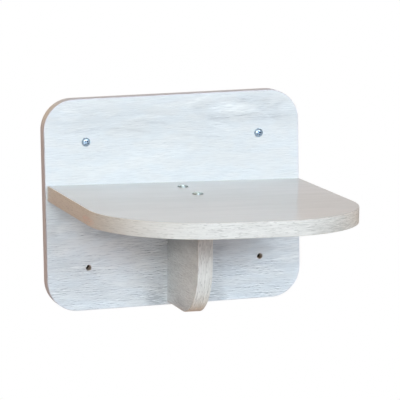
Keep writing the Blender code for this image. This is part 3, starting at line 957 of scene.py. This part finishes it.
neck_end = -joint_screw_head_height - joint_screw_neck_length
joint_screw_head = turned_mesh("joint_screw_head", [
    (0, 0), (joint_screw_head_radius - joint_head_bevel, 0), (joint_screw_head_radius, -joint_head_bevel),
    (joint_screw_head_radius, -joint_head_rim), (joint_screw_radius, -joint_screw_head_height),
    (joint_screw_radius, neck_end), (0, neck_end)], (zinc,))
joint_screw_shank = threaded_mesh("joint_screw_shank", joint_screw_radius, joint_screw_root,
                                  joint_screw_pitch, joint_shank_top, joint_screw_plain_length,
                                  joint_screw_length - joint_screw_below_surface, zinc)
hexagon = turned_mesh("hexagonal_socket", [
    (0, punch_above), (socket_radius, punch_above), (socket_radius, -socket_depth),
    (0, -socket_depth - socket_point)], (zinc,), steps=6)
joint_screw_names = (("left_shelf_joint_screw", "shelf_confirmat_left"),
                     ("right_shelf_joint_screw", "shelf_confirmat_right"),
                     ("upper_bracket_joint_screw", "bracket_confirmat_upper"),
                     ("lower_bracket_joint_screw", "bracket_confirmat_lower"))
for (name, node), (x, z) in zip(joint_screw_names, shelf_joint_screws + bracket_joint_screws):
    place = joint_screw_place(x, z) @ Matrix.Translation((0, 0, -joint_screw_below_surface))
    drive_screw(name, node, place, joint_screw_head, joint_screw_shank, hexagon,
                Matrix.Rotation(x * socket_turn_per_metre, 4, "Z"))


# Studio. A plain white floor and background that only the camera sees, one wide cool soft light in front
# and a little above, and weak warm light from the sides and behind, as in a room with pale wooden walls.

floor_height = -3.2
floor_half = 12.0
window_softness = 2

scene = bpy.context.scene
scene.view_settings.view_transform = "Standard"

floor_corners = [(-floor_half, -floor_half, 0), (floor_half, -floor_half, 0),
                 (floor_half, floor_half, 0), (-floor_half, floor_half, 0)]
floor_finish = bpy.data.materials.new("white_floor")
floor_finish.use_nodes = True
floor_shader = floor_finish.node_tree.nodes["Principled BSDF"]
floor_shader.inputs["Base Color"].default_value = (0, 0, 0, 1)
floor_shader.inputs["Specular IOR Level"].default_value = 0.0
floor_shader.inputs["Emission Color"].default_value = (1, 1, 1, 1)
floor_shader.inputs["Emission Strength"].default_value = 1.0
floor_mesh = new_mesh("floor", floor_corners, [(0, 1, 2, 3)], (floor_finish,))
floor = new_piece("floor", floor_mesh, Matrix.Translation((0, 0, floor_height)))
floor.visible_diffuse = False
floor.visible_glossy = False
floor.visible_transmission = False
floor.visible_shadow = False

world = bpy.data.worlds.new("studio")
world.use_nodes = True
scene.world = world
world_coordinates = world.node_tree.nodes.new("ShaderNodeTexCoord")
direction = Shade(world_coordinates.outputs["Generated"])
toward_x, toward_y, toward_z = split(direction)
turn_from_front = direction.maths("DEGREES", direction.maths("ARCTAN2", toward_x, toward_y * -1.0))
height_above_level = direction.maths("DEGREES", direction.maths("ARCSINE", toward_z))


def window(angle, low, high):
    """1 between two angles in degrees and 0 outside them, with soft edges."""
    return (ease(angle, low - window_softness, low + window_softness)
            * ease(angle, high + window_softness, high - window_softness))


# Each light reaches from one turn to another, and from one height to another, and has its own colour.
glow = direction.node("ShaderNodeCombineXYZ", {}, {"X": 0.12, "Y": 0.10, "Z": 0.08})
for turns, heights, colour in (
        ((-28, 32), (12, 25), (9.15, 10.95, 12.30)),
        ((-60, -28), (12, 25), (2.10, 1.70, 1.35)),
        ((-30, 30), (25, 40), (0.61, 0.34, 0.05)),
        ((0, 30), (0, 12), (0.83, 0.80, 1.30)),
        ((-60, 60), (-40, -15), (0.99, 1.09, 1.24)),
        ((-190, -90), (0, 40), (0.88, 0.67, 0.38)),
        ((-190, -90), (-40, 0), (0.30, 0.17, 0.18)),
        ((135, 190), (0, 40), (0.68, 0.67, 0.68)),
        ((150, 190), (-25, 0), (1.00, 1.06, 1.12)),
        ((90, 190), (-100, -40), (1.20, 0.85, 0.57)),
        ((90, 135), (-15, 0), (1.20, 0.85, 0.57)),
        ((-190, 190), (60, 100), (0.25, 0.13, 0.12))):
    lit = window(turn_from_front, *turns) * window(height_above_level, *heights)
    glow = glow.node("ShaderNodeVectorMath", {"operation": "MULTIPLY_ADD"}, {0: lit, 1: colour, 2: glow})
camera_sees = direction.node("ShaderNodeLightPath", {}, {})
join(tint(camera_sees, glow, (1, 1, 1, 1)), world.node_tree.nodes["Background"], "Color")

camera_data = bpy.data.cameras.new("camera")
camera_data.lens = 250
camera_data.sensor_width = 36
camera = bpy.data.objects.new("camera", camera_data)
camera.location = (-0.80591, -2.81691, 0.45537)
camera.rotation_euler = (math.radians(81.1056), math.radians(0.8932), math.radians(-16.7348))
scene.collection.objects.link(camera)
scene.camera = camera
